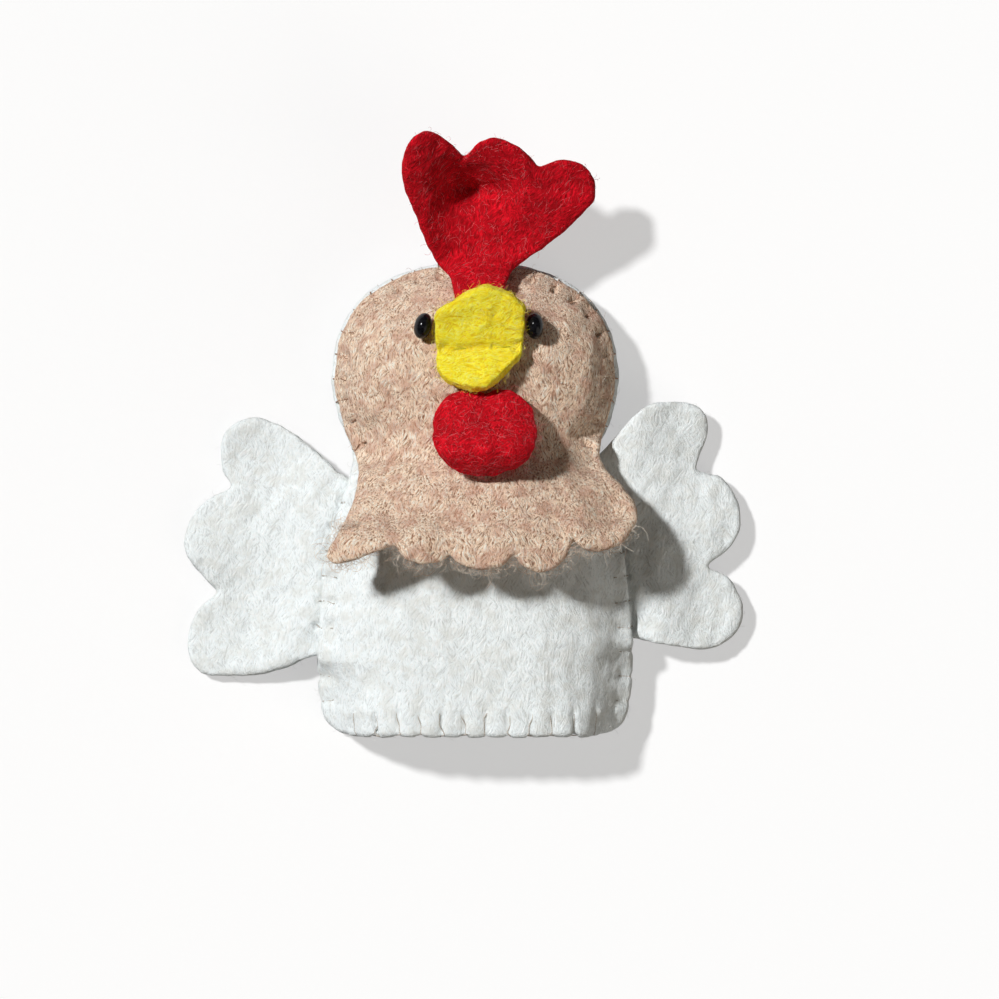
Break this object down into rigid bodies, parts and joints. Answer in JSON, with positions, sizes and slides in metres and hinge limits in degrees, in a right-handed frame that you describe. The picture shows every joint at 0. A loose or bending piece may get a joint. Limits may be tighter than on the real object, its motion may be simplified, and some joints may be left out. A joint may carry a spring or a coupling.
{
  "type": "finger puppet",
  "caption": "Felt hen finger puppet: a sewn pocket open at the hem, lobed wings, a scalloped collar, a comb, a folded beak, a wattle and glass bead eyes.",
  "frame": {"origin": "on the back panel's flat outer face, on the centreline, about midway between the hem and the comb's tips", "axes": "+Y from the hem towards the comb, +Z out of the face, +X towards the wing on the right of the picture"},
  "size_m": [0.0842, 0.0907, 0.0244],
  "materials": {
    "white_felt": "matte wool felt, off-white with a faint beige fleck",
    "tan_felt": "matte wool felt, tan with lighter and browner fibres",
    "red_felt": "matte wool felt, deep red",
    "yellow_felt": "matte wool felt, lemon yellow",
    "black_glass": "glossy opaque black glass",
    "white_thread": "spun sewing thread",
    "tan_thread": "spun sewing thread",
    "red_thread": "spun sewing thread",
    "yellow_thread": "spun sewing thread",
    "black_thread": "spun sewing thread"
  },
  "bodies": {
    "root": {"back_panel": "white_felt", "front_panel": "white_felt", "left_wing": "white_felt", "right_wing": "white_felt", "face_and_collar": "tan_felt", "comb": "red_felt", "wattle": "red_felt", "beak": "yellow_felt", "left_eye_bead": "black_glass", "right_eye_bead": "black_glass", "head_seam_thread": "tan_thread", "left_seam_thread": "white_thread", "right_seam_thread": "white_thread", "front_hem_thread": "white_thread", "back_hem_thread": "white_thread", "comb_thread": "red_thread", "wattle_thread": "red_thread", "beak_thread": "yellow_thread", "eye_thread": "black_thread"}
  },
  "joints": []
}
